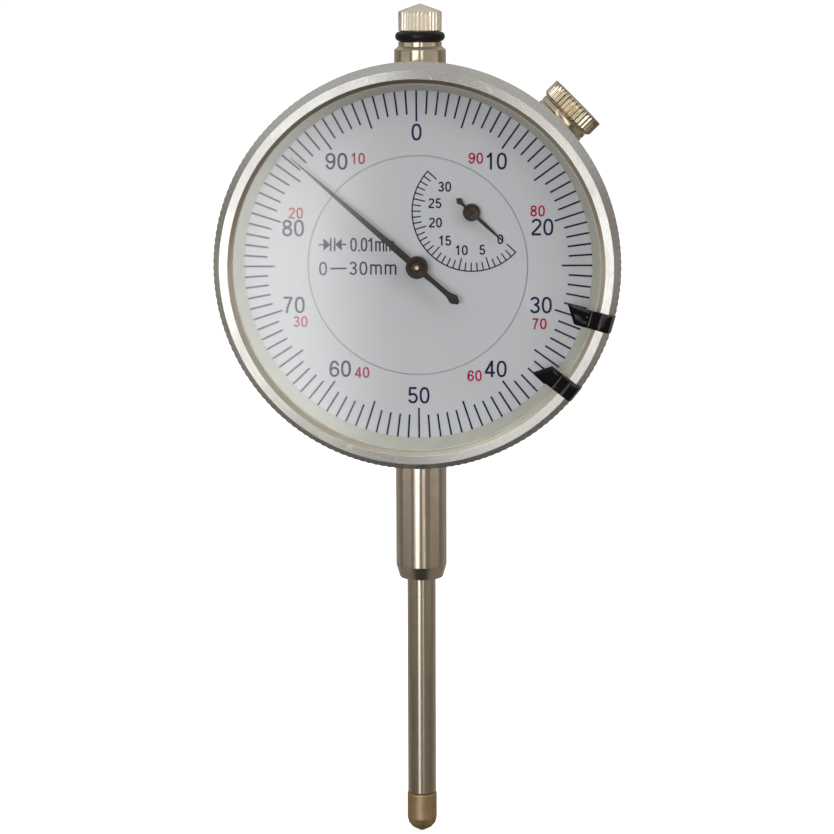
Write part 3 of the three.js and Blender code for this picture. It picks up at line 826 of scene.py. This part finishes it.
o = lathe(
    "main_pointer_hub",
    fillet([(0.45, -1.5), (0.45, -2.45), (1.34, -2.5, 0.02), (1.40, -2.92, 0.08), (1.7, -2.92, 0.12), (1.7, -1.5, 0.1)]),
    96, HAND, "Y",
)
put(o, "body_centre_arbor")
o = lathe("pointer_cap_disc", fillet([(0.40, -2.5), (0.40, -2.62), (0.75, -2.56, 0.15), (1.3, -2.80, 0.1), (1.38, -2.8), (1.38, -2.5)]), 96, HUB, "Y")
put(o, "body_centre_arbor", "pointer_cap")
o = lathe(
    "centre_arbor_pin",
    fillet([(0, -3.02), (0.28, -3.02, 0.05), (0.36, -2.92, 0.04), (0.36, 2.8), (0.95, 2.8), (0.95, 4.1), (0.36, 4.1), (0.36, 6.2), (0, 6.2)], closed=False),
    48, BRASS_DOT, "Y",
    rfun=lambda r, h, th: np.full(len(th), r) if r < 0.9 else 0.86 + 0.14 * np.cos(10 * th),
)
put(o, "body_centre_arbor", "centre_arbor")

small = [
    (-0.27, 0.9), (-0.25, 3.2), (-0.09, 6.55), (0.09, 6.55), (0.25, 3.2), (0.27, 0.9), (0.22, -1.2), (0.22, -1.8), (0.54, -2.6), (0.26, -2.85), (0.0, -3.2),
    (-0.26, -2.85), (-0.54, -2.6), (-0.22, -1.8), (-0.22, -1.2),
]
o = plate("small_pointer_blade", [spun(small, -132.6, CX, CZ)], -1.2, -1.02, HAND, bevel=0.03)
put(o, "body_counter_arbor", "small_pointer")
o = lathe(
    "small_pointer_hub",
    fillet([(0, -1.36), (0.9, -1.40, 0.2), (1.12, -1.46, 0.05), (1.3, -1.42, 0.1), (1.3, -0.6, 0.1), (0, -0.6)], closed=False),
    96, HUB, "Y", CX, CZ,
)
put(o, "body_counter_arbor")
o = lathe("small_hub_rim", fillet([(1.1, -1.48, 0.02), (1.32, -1.48, 0.08), (1.32, -0.7, 0.05), (1.1, -0.7)]), 96, HAND, "Y", CX, CZ)
put(o, "body_counter_arbor")
o = lathe("counter_arbor_pin", [(0, -1.50), (0.13, -1.49), (0.2, -1.45), (0.35, -1.3), (0.35, 2.0), (0.55, 2.0), (0.55, 3.0), (0.35, 3.0), (0.35, 6.2), (0, 6.2)], 32, HUB, "Y", CX, CZ)
put(o, "body_counter_arbor", "counter_arbor")

# ------------------------------------------------------------------ tolerance markers
def marker(name, deg, slant, body, node):
    """A folded strip with a crowned, faceted tip. Drawn pointing up, then turned."""
    hw = 1.35
    ns = 25
    us = np.linspace(-hw, hw, ns)
    rows = []
    # path along the strip: (radius, depth) of its top face, from the tip outwards
    path = [
        (None, -6.0), (24.9, -6.3), (26.2, -6.34), (26.85, -6.24), (26.95, -6.19), (27.1, -6.1), (27.25, -6.13), (27.35, -6.135), (28.65, -6.14),
        (28.8, -6.14), (28.95, -6.2), (29.1, -6.2), (29.25, -6.185), (30.2, -6.185), (30.35, -6.1), (30.5, -5.8), (30.85, -4.4), (30.96, -3.8),
    ]
    fold = 14
    verts, faces = [], []
    for k, (r, d) in enumerate(path):
        for i, u in enumerate(us):
            f = (u + hw) / (2 * hw)
            if slant < 0:
                f = 1 - f
            tip = 23.35 + 1.75 * f
            rr = tip if r is None else r
            if r is not None and k == 1:
                rr = tip + 0.55
            dd = d
            crown = (1 - abs(u / hw) ** 5)
            if k in (1, 2, 3):
                # a ridge that falls from the long corner towards the middle
                ridge = max(0.0, 1 - abs(f - 0.42) / 0.5)
                dd = d - 0.12 * crown + ((0.16 if slant > 0 else 0.03) * ridge if k == 2 else 0.0)
            elif k == 0:
                dd = d
            else:
                dd = d - 0.05 * crown + 0.05
            verts.append((u, dd, rr))
    top = len(verts)
    thick = 0.32
    for k, (r, d) in enumerate(path):
        for i, u in enumerate(us):
            x, dd, rr = verts[k * ns + i]
            if k >= fold:
                nx, nd = -0.30, 0.12
            else:
                nx, nd = 0.0, thick
            base = -5.85 if k < fold else dd + nd
            verts.append((x * 0.985, base if k < fold else dd + 0.1, rr + (0.03 if k == 0 else nx)))
    m = len(path)
    for k in range(m - 1):
        for i in range(ns - 1):
            a = k * ns + i
            faces.append((a, a + 1, a + ns + 1, a + ns))
            b = top + a
            faces.append((b, b + ns, b + ns + 1, b + 1))
    for k in range(m - 1):
        a, b = k * ns, (k + 1) * ns
        faces.append((a, b, top + b, top + a))
        a, b = a + ns - 1, b + ns - 1
        faces.append((b, a, top + a, top + b))
    for i in range(ns - 1):
        faces.append((i + 1, i, top + i, top + i + 1))
        a = (m - 1) * ns + i
        faces.append((a, a + 1, top + a + 1, top + a))
    v = np.array(verts)
    t = math.radians(deg)
    x, d, z = v[:, 0], v[:, 1], v[:, 2]
    v = np.stack([x * math.cos(t) + z * math.sin(t), d, -x * math.sin(t) + z * math.cos(t)], 1)
    o = mesh(name, v, faces, BLACK, 24, outward=True)
    put(o, body, node)
    return o


marker("tolerance_clip_upper", 105.7, 1, "body_marker_upper", "tolerance_marker_upper")
marker("tolerance_clip_lower", 128.2, -1, "body_marker_lower", "tolerance_marker_lower")

# ------------------------------------------------------------------ case and rear cover
case = lathe(
    "case_shell",
    fillet([
        (27.0, 0.7, 0.1), (27.0, 2.4), (29.0, 2.4, 0.2), (29.0, 13.5, 0.15), (25.4, 13.5), (25.4, 8.0), (24.3, 8.0), (24.3, 6.5), (25.4, 6.5), (25.4, 0.7),
    ]),
    240, ALU, "Y",
)
c1 = lathe("c1", [(0, -31), (3.3, -31), (3.3, -22), (0, -22)], 48, None, "Z")
c2 = lathe("c2", [(0, 22), (3.3, 22), (3.3, 31), (0, 31)], 48, None, "Z")
c3 = lathe("c3", [(0, 22), (1.8, 22), (1.8, 31), (0, 31)], 32, None, "C")
boolean(case, [c1, c2, c3])
put(case, CASE, "case")

cover = lathe(
    "rear_cover_plate",
    fillet([(0, 13.6), (28.9, 13.6, 0.1), (28.9, 14.7, 0.25), (28.3, 15.0, 0.2), (25.0, 15.0, 0.1), (24.7, 14.75, 0.1), (0, 14.75)], closed=False),
    240, ALU, "Y",
)
SCREWS = [(26.9 * math.cos(math.radians(a)), 26.9 * math.sin(math.radians(a))) for a in (20, 160, 200, 340)]
cuts = [lathe(f"k{i}", [(0, 13), (0.95, 13), (0.95, 16), (0, 16)], 32, None, "Y", x, z) for i, (x, z) in enumerate(SCREWS)]
boolean(cover, cuts)
put(cover, CASE, "rear_cover")
lug_out = [(14.7, -8.0), (16.5, -6.9), (19.5, -6.0)] + [(19.5 + 6 * math.cos(t), 6 * math.sin(t)) for t in np.linspace(-math.pi / 2, math.pi / 2, 26)[1:-1]] + [(19.5, 6.0), (16.5, 6.9), (14.7, 8.0)]
lug = plate("rear_cover_lug", [lug_out], -3.0, 3.0, ALU, holes=[circle(3.25, 64, 19.5, 0)], bevel=0.35, axis="X", segments=3)
put(lug, CASE)

for i, (x, z) in enumerate(SCREWS):
    sc = lathe(
        f"rear_screw_{i + 1}",
        fillet([(0, 11.4), (0.8, 11.4, 0.1), (0.8, 15.05), (1.7, 15.05, 0.05), (1.7, 15.7, 0.2), (1.3, 16.0, 0.2), (0, 16.1)], closed=False),
        48, STEEL_FREE, "Y", x, z,
    )
    bm = bmesh.new()
    bmesh.ops.create_cube(bm, size=1.0)
    me = bpy.data.meshes.new("slot")
    bm.to_mesh(me)
    bm.free()
    sl = bpy.data.objects.new("slot", me)
    bpy.context.scene.collection.objects.link(sl)
    ang = math.radians((35, 100, 10, 75)[i])
    sl.matrix_world = Matrix.Translation(Vector(W([(x, 16.1, z)])[0])) @ Matrix.Rotation(ang, 4, "Y") @ Matrix.Diagonal((0.0005, 0.0009, 0.005, 1))
    bpy.context.view_layer.update()
    boolean(sc, [sl])
    put(sc, CASE, f"rear_cover_screw_{i + 1}")

# ------------------------------------------------------------------ stem, sleeve, plunger
# the body's flats against the case follow its wall
wall = lathe("wall", [(0, -2), (28.98, -2), (28.98, 20), (0, 20)], 240, None, "Y")
stem = lathe(
    "stem_tube",
    fillet([(2.8, -50.5, 0.1), (3.42, -50.5, 0.12), (4.0, -48.5, 0.25), (4.0, -27), (2.8, -27)]),
    128, STEEL, "Z",
)
boolean(stem, [wall])
put(stem, CASE, "stem")
o = lathe("lower_bush", fillet([(2.32, -50.25, 0.1), (2.72, -50.25, 0.08), (2.72, -42), (2.32, -42)]), 64, BRASS, "Z")
put(o, CASE, "lower_guide_bush")

wall = lathe("wall", [(0, -2), (28.98, -2), (28.98, 20), (0, 20)], 240, None, "Y")
sleeve = lathe(
    "sleeve_tube",
    fillet([(2.8, 27), (4.0, 27), (4.0, 32.45, 0.1), (3.5, 32.88, 0.08), (3.35, 32.95, 0.06), (3.36, 33.66, 0.08), (2.8, 33.66, 0.05)]),
    128, NICKEL, "Z",
)
boolean(sleeve, [wall])
sleeve.data.materials.append(NICKEL_SOFT_TOP_LIT)
# faces that look up take the rougher, lighter copy: painted light on the shoulder, so it does not show a dark
# reflection
for f in sleeve.data.polygons:
    if f.normal.z > 0.25:
        f.material_index = 1
put(sleeve, CASE, "upper_sleeve")
o = lathe("upper_bush", fillet([(2.32, 26), (2.72, 26), (2.72, 33.4), (2.32, 33.4)]), 64, BRASS, "Z")
put(o, CASE, "upper_guide_bush")


def plunger_r(r, h, th):
    return np.full(len(th), r)


pl = lathe(
    "plunger_rod",
    fillet([(0, -81), (1.3, -81), (1.3, -86.1), (2.1, -86.1, 0.05), (2.25, -85.95, 0.05), (2.25, 35.26), (1.4, 35.26), (1.4, 37.4), (0, 37.4)], closed=False),
    96, STEEL, "Z",
)
zig = [(-4.0, -23.0), (-1.95, -23.0)]
zz = -23.0
while zz < 13.0:
    zig += [(-1.62, zz + 0.28), (-1.62, zz + 0.34), (-1.95, zz + 0.56)]
    zz += 0.625
zig += [(-4.0, 13.3)]
rack_cut = plate("rack_cut", [zig], 5.0, 13.0, STEEL)
boolean(pl, [rack_cut])
put(pl, PL, "plunger")

o = lathe(
    "contact_tip",
    fillet([
        (0, -81.3), (1.2, -81.3, 0.1), (1.2, -86.14), (2.3, -86.14, 0.12), (2.36, -86.4, 0.1), (2.36, -90.3, 0.6), (2.15, -91.2, 0.6), (1.6, -91.85, 0.4), (1.12, -92.15, 0.05), (1.02, -92.1), (1.02, -90.6), (0, -90.6),
    ], closed=False, steps=6),
    96, TIP, "Z",
)
put(o, PL, "contact_point")
sph = [(0.0, -92.6)] + [(1.0 * math.sin(t), -91.6 - 1.0 * math.cos(t)) for t in np.linspace(0, math.pi, 24)[1:-1]] + [(0.0, -90.6)]
o = lathe("contact_ball_bead", sph, 64, CARBIDE, "Z")
put(o, PL, "contact_ball")

ring = [(3.08 + 0.77 * math.cos(t), 34.48 + 0.77 * math.sin(t)) for t in np.linspace(0, 2 * math.pi, 28, endpoint=False)]
o = lathe("o_ring", ring, 96, RUBBER, "Z")
put(o, PL, "knob_o_ring")

FL = 32


def knob_r(r, h, th):
    if r < 3.0:
        return np.full(len(th), r)
    w = float(sstep(h, 35.2, 35.35) * (1 - sstep(h, 38.12, 38.4)))
    return r - w * 0.12 * (1 - np.cos(th * FL))


o = lathe(
    "lifting_knob_cap",
    fillet([
        (0, 37.6), (1.5, 37.6), (1.5, 35.3), (3.22, 35.3, 0.05), (3.35, 35.42, 0.04), (3.35, 35.6), (3.35, 36.5), (3.35, 37.4), (3.35, 38.1), (3.3, 38.24), (3.05, 38.4), (1.2, 39.06, 0.3), (0.25, 39.42, 0.2), (0, 39.46),
    ], closed=False),
    FL * (16), KNOB, "Z", rfun=knob_r, angle=30,
)
put(o, PL, "lifting_knob")

# ------------------------------------------------------------------ clamp
wall = lathe("wall", [(0, -2), (28.98, -2), (28.98, 20), (0, 20)], 240, None, "Y")
bush = lathe("clamp_bush_boss", fillet([(1.75, 27), (4.3, 27), (4.3, 30.8, 0.1), (1.75, 30.8, 0.1)]), 96, NICKEL_C, "C")
boolean(bush, [wall])
put(bush, CASE, "clamp_bush")


def box_c(name, x0, x1, y0, y1, s0, s1, mat):
    q = math.sqrt(0.5)
    v = []
    for s in (s0, s1):
        for y in (y0, y1):
            for x in (x0, x1):
                v.append((x * q + s * q, y, -x * q + s * q))
    f = [(0, 1, 3, 2), (4, 6, 7, 5), (0, 4, 5, 1), (2, 3, 7, 6), (0, 2, 6, 4), (1, 5, 7, 3)]
    return mesh(name, v, f, mat, outward=True)


shoe = lathe("clamp_shoe_plate", fillet([(1.7, 30.9, 0.05), (4.3, 30.9, 0.08), (4.3, 31.7, 0.1), (1.7, 31.7)]), 96, NICKEL_C, "C")
put(shoe, "body_clamp_shoe", "clamp_shoe")
for k, (y0, y1, s0, s1) in enumerate(((3.95, 5.2, 30.5, 31.6), (2.6, 4.4, 30.45, 30.98))):
    w = box_c(f"clamp_shoe_{('web', 'toe')[k]}", -1.45, 1.45, y0, y1, s0, s1, NICKEL_C)
    md = w.modifiers.new("edge", "BEVEL")
    md.width = 0.00012
    md.segments = 3
    bake(w)
    sharpen(w.data)
    put(w, "body_clamp_shoe")
KN = 38


def clamp_r(r, h, th):
    if r < 4.2:
        return np.full(len(th), r)
    w = float(sstep(h, 31.95, 32.2) * (1 - sstep(h, 34.35, 34.48)))
    return r - w * 0.15 * (1 - np.cos(th * KN))


o = lathe(
    "clamp_screw_knob",
    fillet([
        (0, 26.6), (1.2, 26.6, 0.1), (1.5, 26.9, 0.1), (1.5, 31.8), (4.3, 31.8, 0.05), (4.75, 32.2, 0.06), (4.75, 32.4), (4.75, 33.0), (4.75, 33.6), (4.75, 34.2), (4.75, 34.45, 0.03), (4.68, 34.5, 0.02), (0, 34.5),
    ], closed=False),
    KN * (16), NICKEL_C, "C", rfun=clamp_r, angle=30,
)
put(o, "body_clamp_screw", "clamp_screw")

# ------------------------------------------------------------------ hidden movement: CAD solids, finished
FINISH = {
    "movement_front_plate": BRASS, "movement_main_plate": BRASS, "guide_plate": STEEL_FREE, "spring_post": STEEL_FREE,
    "return_spring": STEEL_FREE, "hairspring": STEEL_FREE, "hairspring_stud": BRASS, "rack_arbor": STEEL_FREE, "rack_wheel": BRASS,
    "counter_pinion": BRASS, "hairspring_arbor": STEEL_FREE, "hairspring_wheel": BRASS, "counter_wheel": BRASS, "guide_pin": STEEL_FREE,
}
for i in range(1, 5):
    FINISH[f"plate_pillar_{i}"] = BRASS
    FINISH[f"plate_screw_{i}"] = STEEL_FREE
for name, m in FINISH.items():
    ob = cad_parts[name]
    ob.data.materials.clear()
    ob.data.materials.append(m)

# ------------------------------------------------------------------ floor
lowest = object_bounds()[0][2]
bm = bmesh.new()
bmesh.ops.create_grid(bm, x_segments=2, y_segments=2, size=8.0)
me = bpy.data.meshes.new("floor")
bm.to_mesh(me)
bm.free()
floor = bpy.data.objects.new("floor", me)
bpy.context.scene.collection.objects.link(floor)
floor.location = (0, 0, lowest - 0.0002)
fm, nt, out = new_mat("floor_white")
b = N(nt, "ShaderNodeBsdfPrincipled")
b.inputs["Base Color"].default_value = (0.9, 0.9, 0.9, 1)
b.inputs["Roughness"].default_value = 0.9
b.inputs["Emission Color"].default_value = (1, 1, 1, 1)
b.inputs["Emission Strength"].default_value = 0.72
b.inputs["Specular IOR Level"].default_value = 0.1
nt.links.new(b.outputs[0], out.inputs[0])
me.materials.append(fm)
floor.visible_glossy = False
floor.visible_diffuse = False

# ------------------------------------------------------------------ light
world = bpy.data.worlds.new("studio")
bpy.context.scene.world = world
world.use_nodes = True
nt = world.node_tree
nt.nodes.clear()
wo = nt.nodes.new("ShaderNodeOutputWorld")
bg_cam = nt.nodes.new("ShaderNodeBackground")
bg_cam.inputs[0].default_value = (1, 1, 1, 1)
bg_cam.inputs[1].default_value = 1.05
bg = nt.nodes.new("ShaderNodeBackground")
tc = nt.nodes.new("ShaderNodeTexCoord")
sep = nt.nodes.new("ShaderNodeSeparateXYZ")
nt.links.new(tc.outputs["Generated"], sep.inputs[0])


def wmath(op, a, b=None):
    n = nt.nodes.new("ShaderNodeMath")
    n.operation = op
    for k, v in enumerate((a, b)):
        if v is None:
            continue
        if hasattr(v, "is_linked"):
            nt.links.new(v, n.inputs[k])
        else:
            n.inputs[k].default_value = v
    return n.outputs[0]


def wrange(v, a, b, c=0.0, d=1.0):
    n = nt.nodes.new("ShaderNodeMapRange")
    n.interpolation_type = "SMOOTHSTEP"
    for k, x in enumerate((a, b, c, d)):
        n.inputs[k + 1].default_value = x
    nt.links.new(v, n.inputs[0])
    return n.outputs[0]


def wmix(fac, a, b):
    n = nt.nodes.new("ShaderNodeMix")
    n.data_type = "RGBA"
    nt.links.new(fac, n.inputs[0])
    for k, v in ((6, a), (7, b)):
        if hasattr(v, "is_linked"):
            nt.links.new(v, n.inputs[k])
        else:
            n.inputs[k].default_value = (*v, 1)
    return n.outputs[2]


# a dim warm room with two tall soft windows in front, lighter above and dark below;
# turn in degrees from straight in front of the dial, right positive
turn = wmath("MULTIPLY", wmath("ARCTAN2", sep.outputs[0], wmath("MULTIPLY", sep.outputs[1], -1.0)), 180 / math.pi)
far = wmath("ABSOLUTE", turn)
room = wmix(wrange(far, 20, 65), (0.22, 0.195, 0.165), (0.125, 0.095, 0.070))
room = wmix(wrange(far, 75, 140), room, (0.30, 0.28, 0.25))
low = wmix(wrange(far, 20, 70), (0.05, 0.046, 0.044), (0.24, 0.21, 0.17))
low = wmix(wrange(far, 110, 150), low, (0.085, 0.08, 0.075))
room = wmix(wrange(sep.outputs[2], -0.38, -0.55), room, low)
room = wmix(wrange(sep.outputs[2], 0.15, 0.55), room, (0.48, 0.47, 0.44))


def window(a, b, soft):
    return wmath("MULTIPLY", wrange(turn, a - soft, a + soft), wrange(turn, b + soft, b - soft))


up = wmath("MULTIPLY", wrange(sep.outputs[2], -0.185, -0.155), wrange(sep.outputs[2], 0.7, 0.4))
down = wmath("MULTIPLY", wrange(sep.outputs[2], -0.155, -0.185), wrange(sep.outputs[2], -0.42, -0.21))
dim = wmath("MULTIPLY", wrange(sep.outputs[2], -0.155, -0.185), wrange(sep.outputs[2], -0.30, -0.19))
glare = wmath("MULTIPLY", wrange(sep.outputs[2], -0.19, -0.17), wrange(sep.outputs[2], -0.03, -0.085))
side = wmath("MULTIPLY", wrange(far, 36, 50), wrange(far, 98, 84))
side = wmath("MULTIPLY", side, wmath("MULTIPLY", wrange(sep.outputs[2], -0.21, -0.17), wrange(sep.outputs[2], 0.0, -0.05)))
room = wmix(side, room, (0.72, 0.68, 0.61))
room = wmix(wmath("MULTIPLY", window(14.0, 68.0, 8.0), wrange(sep.outputs[2], -0.14, -0.08)), room, (0.42, 0.39, 0.34))
room = wmix(wmath("MULTIPLY", window(-31.0, -15.0, 2.5), up), room, (2.1, 2.07, 2.0))
room = wmix(wmath("MULTIPLY", window(-24.0, -10.0, 2.5), down), room, (1.6, 1.52, 1.38))
room = wmix(wmath("MULTIPLY", window(6.0, 15.0, 1.6), up), room, (1.7, 1.64, 1.54))
room = wmix(wmath("MULTIPLY", window(13.0, 20.5, 1.6), dim), room, (1.3, 1.15, 0.95))
room = wmix(wmath("MULTIPLY", window(-20.0, -4.55, 1.3), glare), room, (3.7, 3.68, 3.62))
high = wmath("MULTIPLY", wrange(sep.outputs[2], -0.085, -0.03), wrange(sep.outputs[2], 0.7, 0.4))
room = wmix(wmath("MULTIPLY", window(-20.0, -5.4, 0.95), high), room, (1.95, 1.93, 1.9))
nt.links.new(room, bg.inputs[0])
bg.inputs[1].default_value = 1.0
lp = nt.nodes.new("ShaderNodeLightPath")
ms = nt.nodes.new("ShaderNodeMixShader")
nt.links.new(lp.outputs["Is Camera Ray"], ms.inputs[0])
nt.links.new(bg.outputs[0], ms.inputs[1])
nt.links.new(bg_cam.outputs[0], ms.inputs[2])
nt.links.new(ms.outputs[0], wo.inputs[0])


def area(name, loc, target, size, power, color=(1, 1, 1), size_y=None):
    li = bpy.data.lights.new(name, "AREA")
    li.energy = power
    li.color = color
    li.shape = "RECTANGLE"
    li.size = size
    li.size_y = size_y or size
    ob = bpy.data.objects.new(name, li)
    bpy.context.scene.collection.objects.link(ob)
    ob.location = loc
    d = Vector(target) - Vector(loc)
    ob.rotation_euler = d.to_track_quat("-Z", "Y").to_euler()
    return ob


mid = (0, -0.009, 0.03)
for a in (
    area("key_left", (-0.17, -1.0, 0.0), mid, 0.30, 4.88, (1, 0.985, 0.985), 0.40),
    area("fill_right", (0.75, -0.62, 0.42), mid, 0.45, 3.15, (1, 1, 1), 0.6),
    area("top", (0.0, -0.40, 1.1), mid, 1.0, 3.67, (1, 1, 1)),
):
    a.visible_glossy = False

# ------------------------------------------------------------------ camera
cam = bpy.data.cameras.new("camera")
cam_o = bpy.data.objects.new("camera", cam)
bpy.context.scene.collection.objects.link(cam_o)
bpy.context.scene.camera = cam_o
CAM_D, CAM_AZ, CAM_EL = 400.0, math.radians(2.942), math.radians(6.264)
YAW, PITCH, ROLL = math.radians(2.968), math.radians(-9.568), math.radians(-0.182)
p = np.array([math.sin(CAM_AZ) * math.cos(CAM_EL), -math.cos(CAM_AZ) * math.cos(CAM_EL), math.sin(CAM_EL)]) * CAM_D
cam_o.location = Vector(W([p])[0])
rot = Matrix.Rotation(YAW, 3, "Z") @ Matrix.Rotation(math.pi / 2 + PITCH, 3, "X") @ Matrix.Rotation(ROLL, 3, "Z")
cam_o.rotation_euler = rot.to_euler()
cam.sensor_width = 36.0
cam.lens = 112.96
cam.clip_start = 0.01
cam.clip_end = 20.0

bpy.context.scene.view_settings.view_transform = "Standard"
